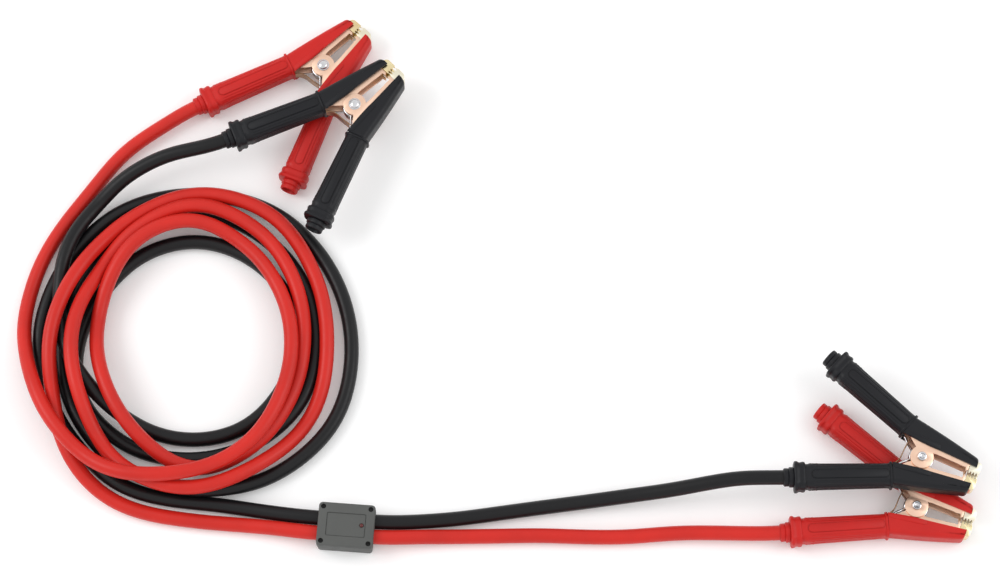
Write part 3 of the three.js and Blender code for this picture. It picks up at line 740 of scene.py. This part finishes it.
def grip_section(along, half_n, half_z, radius, flutes=0.0):
    """Ring of the grip: a rounded rectangle whose faces carry long shallow flutes."""
    base = rounded(half_n, half_z, radius, CORNER_STEPS)
    dense = []
    for i, point in enumerate(base):
        a, b = Vector(point), Vector(base[(i + 1) % len(base)])
        count = SIDE_SPLIT if i % CORNER_STEPS == CORNER_STEPS - 1 else CORNER_SPLIT
        dense += [a.lerp(b, k / count) for k in range(count)]
    ring = []
    for p in dense:
        depth = 0.0
        if abs(p.y) > half_z - 5:
            depth += sum(hill(abs(p.x), centre, FLUTE_WIDTH) for centre in FACE_FLUTES)
        if abs(p.x) > half_n - 2.5:
            depth += sum(hill(abs(p.y), centre, FLUTE_WIDTH) for centre in SIDE_FLUTES)
        q = p * (1 - flutes * depth / max(p.length, 1))
        ring.append(grip_point(along, q.x, q.y))
    return ring


def edged(half_sizes, radius, edges, start=0.0):
    """Rings of a block with softened edges: (distance along, inset) pairs."""
    half_n, half_z = half_sizes
    return [grip_section(start + along, half_n - inset, half_z - inset, radius)
            for along, inset in edges]


def grip_part():
    """Flange, fluted grip, neck, collar and ringed nose with its bore, in one skin."""
    rings = edged(FLANGE, FLANGE_RADIUS, FLANGE_EDGES)
    rings.append(grip_section(2.5, 11.7, 11.7, FLANGE_RADIUS))
    rings.append(grip_section(3.3, 11.5, 11.6, FLANGE_RADIUS))
    for along in np.arange(*GRIP_RINGS):
        fade = min(1.0, max(0.0, (along - FLUTE_ENDS[0]) / FLUTE_FADE))
        fade *= min(1.0, max(0.0, (FLUTE_ENDS[1] - along) / FLUTE_FADE))
        ribs = sum(RIB_HEIGHT * hill(along, rib, RIB_WIDTH) for rib in RIBS)
        half_n = GRIP_HALF_N + GRIP_WIDENING * along / GRIP_LENGTH + ribs
        waist = WAIST_DEPTH * hill(along, WAIST_AT, WAIST_WIDTH)
        rings.append(grip_section(
            along, half_n - waist, GRIP_HALF_Z - waist, GRIP_RADIUS, FLUTE_DEPTH * fade))
    rings.append(grip_section(84.2, 12.0, 11.5, GRIP_RADIUS))
    rings += edged(COLLAR, GRIP_RADIUS, COLLAR_EDGES)
    rings.append(grip_section(95.5, 10.4, 10.4, ROUND))
    for start, radius in NOSE_RINGS:
        rings += edged((radius, radius), ROUND, NOSE_EDGES, start)
    for along, radius in BORE_RINGS:
        rings.append(grip_section(along, radius, radius, ROUND))

    turn = Matrix((
        (GRIP_AXIS.x, GRIP_NORMAL.x, 0, 0), (GRIP_AXIS.y, GRIP_NORMAL.y, 0, 0), (0, 0, 1, 0),
        (0, 0, 0, 1)))
    length, width = PANEL
    panel = rounded(length, width, width, 10)
    rim = rounded(length + PANEL_GROOVE, width + PANEL_GROOVE, width + PANEL_GROOVE, 10)
    slabs, grooves = [], []
    for side in (1, -1):
        at = Matrix.Translation(grip_point(PANEL_AT, 0, side * PANEL_Z)) @ turn
        slabs.append(moved(flat_plate(panel, 1.5, 0.2), at))
        grooves.append(moved(flat_plate(rim, 1.0, 0, [panel], side * 0.3), at))
    return merged(cut(loft(rings), grooves), *slabs)


def rivet_part():
    """Formed hollow tail below, shank, domed head above, and a washer under the head."""
    tail = [(0, -13.2), (1.4, -13.2), (1.9, -13.4), (2.3, -13.0), (2.5, -12.3), (2.9, -12.9),
            (3.5, -13.1), (4.2, -12.8), (4.6, -12.2), (4.7, -11.3), (4.6, -10.8)]
    shank = [(RIVET_R, -10.75), (RIVET_R, 10.75)]
    dome = [(4.9 * math.cos(a), 11.1 + 2.3 * math.sin(a)) for a in np.linspace(0, 1.53, 12)]
    washer = [(0, 10.72), (5.9, 10.72), (6.1, 10.85), (5.9, 11.0), (0, 11.0)]
    head = [(5.0, 10.75), (5.0, 11.0), *dome, (0, 13.4)]
    return merged(lathe(tail + shank + head, 36), lathe(washer, 36))


def spring_part():
    """Torsion spring round the rivet, one leg along each handle."""
    height = SPRING_TURNS * SPRING_PITCH
    steps = int(SPRING_TURNS * SPRING_SIDES)
    sweep = 2 * math.pi * SPRING_TURNS - math.radians(SPRING_OPEN)
    points = [(x, y, -height / 2) for x, y in SPRING_LEG]
    for i in range(steps + 1):
        a = math.radians(SPRING_START) + sweep * i / steps
        points.append((SPRING_R * math.cos(a), SPRING_R * math.sin(a), height * (i / steps - 0.5)))
    points += [(x, -y, height / 2) for x, y in SPRING_LEG[::-1]]
    return wire(points, SPRING_WIRE_R, 14)


def strap_part():
    """Thin copper ribbon from handle to handle behind the pivot."""
    return strip(cable_line([(x, y, 0) for x, y in STRAP], 1.2), *STRAP_HALF)


SHAPES = {
    "sleeve": merged(cover_part(), grip_part()),
    "rivet": rivet_part(),
    "spring": spring_part(),
    "strap": strap_part(),
}
for half, width in HALF_WIDTH.items():
    SHAPES[f"{half}_jaw"] = jaw_part(width)
    SHAPES[f"{half}_tip"] = tip_part(width)

for name in CLAMPS:
    place = clamp_matrix(name)
    colour = name.split("_")[0]
    free_body = f"{name}_free_half"
    for half, body, at in (("cable", "root", place), ("free", free_body, place @ FREE)):
        for label, shape, finish, slot, node in (
            ("grip", "sleeve", SLEEVES[colour], f"{colour}_sleeve", "sleeve"),
            ("plates", f"{half}_jaw", COPPER, "copper_sheet", "jaw"),
            ("contact", f"{half}_tip", CONTACTS[half], "brass_contact", "tip"),
        ):
            piece(f"{name}_{half}_{label}", SHAPES[shape], finish, body,
                  [f"{name}_{half}_{node}"], at)
    piece(f"{name}_pin", SHAPES["rivet"], STEEL, "root", [f"{name}_rivet"], place)
    # The ribbon gets the darkened copper, which is painted shade.
    for label, shape, finish, slot in (
        ("coil", "spring", STEEL, "steel"), ("ribbon", "strap", SHADED_COPPER, "copper_sheet")
    ):
        thing = piece(f"{name}_{label}", SHAPES[shape], finish, None, [f"{name}_{shape}"], place)
        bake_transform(thing)


# Surge box

def stack(levels):
    """Block of rounded rectangles: (z, inset) pairs from the bottom up."""
    rings = []
    for z, inset in levels:
        half_x, half_y = BOX_SIZE[0] / 2 - inset, BOX_SIZE[1] / 2 - inset
        rings.append([(x, y, z) for x, y in rounded(half_x, half_y, max(4.0 - inset, 1.0), 8)])
    return loft(rings)


def hole(at, radius, depth):
    """Round bar that cuts a hole into the lid's top."""
    bar = lathe([(0, TOP - depth), (radius, TOP - depth), (radius, TOP + 1), (0, TOP + 1)], 24)
    return moved(bar, Matrix.Translation((*at, 0)))


def box_piece(name, part, finish, node):
    piece(name, part, finish, "root", [node], Matrix.Rotation(BOX_TURN, 4, "Z"))


TRAY = stack([
    (0, 1.6), (0.5, 1.1), (1.2, 0.9), (BOX_JOINT_Z - 0.7, 0.35), (BOX_JOINT_Z - 0.2, 0.8)])
LID = stack([
    (BOX_JOINT_Z + 0.2, 0.5), (BOX_JOINT_Z + 0.6, 0.05), (TOP - 3.7, 0.1), (TOP - 3.5, 0.9),
    (TOP - 3.0, 0.9), (TOP - 2.8, 0.1), (TOP - 1.3, 0.15), (TOP - 0.5, 0.45), (TOP - 0.12, 0.9),
    (TOP, 1.5)])
LABEL_FRAME = flat_plate(
    rounded(LABEL[0] + 0.2, LABEL[1] + 0.2, 1.6, 6), 1.1, 0,
    [rounded(LABEL[0] - 0.4, LABEL[1] - 0.4, 1.0, 6)], TOP - 0.55)
LID_CUTS = [
    prism(rounded(*LABEL, 1.5, 6), TOP - 0.6, TOP + 1), LABEL_FRAME,
    *[hole(at, *SCREW_HOLE) for at in SCREWS], hole(LIGHT_AT, *LIGHT_HOLE)]
BOLT = lathe([(0, TOP - 8), (2.2, TOP - 8), (2.2, TOP - 1.7), (1.8, TOP - 1.3), (0.9, TOP - 1.25),
              (0.8, TOP - 2.2), (0, TOP - 2.2)], 20)
LIGHT = lathe([(0, TOP - 2.6), (1.8, TOP - 2.6), (1.8, TOP), (1.5, TOP + 0.4), (0.9, TOP + 0.65),
               (0.2, TOP + 0.7), (0, TOP + 0.7)], 24)
box_piece("box_tray", TRAY, GREY_BOX, "box_base")
box_piece("box_cap", cut(LID, LID_CUTS), GREY_BOX, "box_lid")
for k, at in enumerate(SCREWS, 1):
    bolt = moved(BOLT, Matrix.Translation((*at, 0)))
    box_piece(f"box_bolt_{k}", bolt, SCREW, f"box_screw_{k}")
box_piece("box_lens", moved(LIGHT, Matrix.Translation((*LIGHT_AT, 0))), LENS, "box_light")


# Floor, light and camera

floor_mesh = bpy.data.meshes.new("floor")
corners = [(x * FLOOR_HALF, y * FLOOR_HALF, 0) for x, y in ((-1, -1), (1, -1), (1, 1), (-1, 1))]
floor_mesh.from_pydata(corners, [], [(0, 1, 2, 3)])
floor = add_object("floor", floor_mesh)
floor_finish, _, _, bsdf, _ = new_material("floor")
bsdf.inputs["Base Color"].default_value = (FLOOR_WHITE, FLOOR_WHITE, FLOOR_WHITE, 1)
bsdf.inputs["Emission Color"].default_value = (1, 1, 1, 1)
bsdf.inputs["Emission Strength"].default_value = FLOOR_GLOW
bsdf.inputs["Roughness"].default_value = 0.9
floor_mesh.materials.append(floor_finish)

for name, (at, side, power) in LIGHTS.items():
    light = bpy.data.lights.new(name, "AREA")
    light.shape = "SQUARE"
    light.size = side
    light.energy = power
    lamp = add_object(name, light)
    lamp.location = at
    lamp.rotation_euler = (Vector(LIGHT_AIM) - Vector(at)).to_track_quat("-Z", "Y").to_euler()

world = bpy.data.worlds.new("studio")
bpy.context.scene.world = world
world.use_nodes = True
background = world.node_tree.nodes["Background"]
background.inputs["Color"].default_value = (1, 1, 1, 1)
background.inputs["Strength"].default_value = WORLD_LIGHT
bpy.context.scene.view_settings.view_transform = "Standard"

camera = bpy.data.cameras.new("photo")
camera.lens = CAMERA_LENS
camera.sensor_width = CAMERA_SENSOR
camera.clip_end = CAMERA_CLIP
viewer = add_object("photo", camera)
viewer.location = CAMERA_AT
viewer.rotation_euler = (CAMERA_PITCH, 0, 0)
bpy.context.scene.camera = viewer
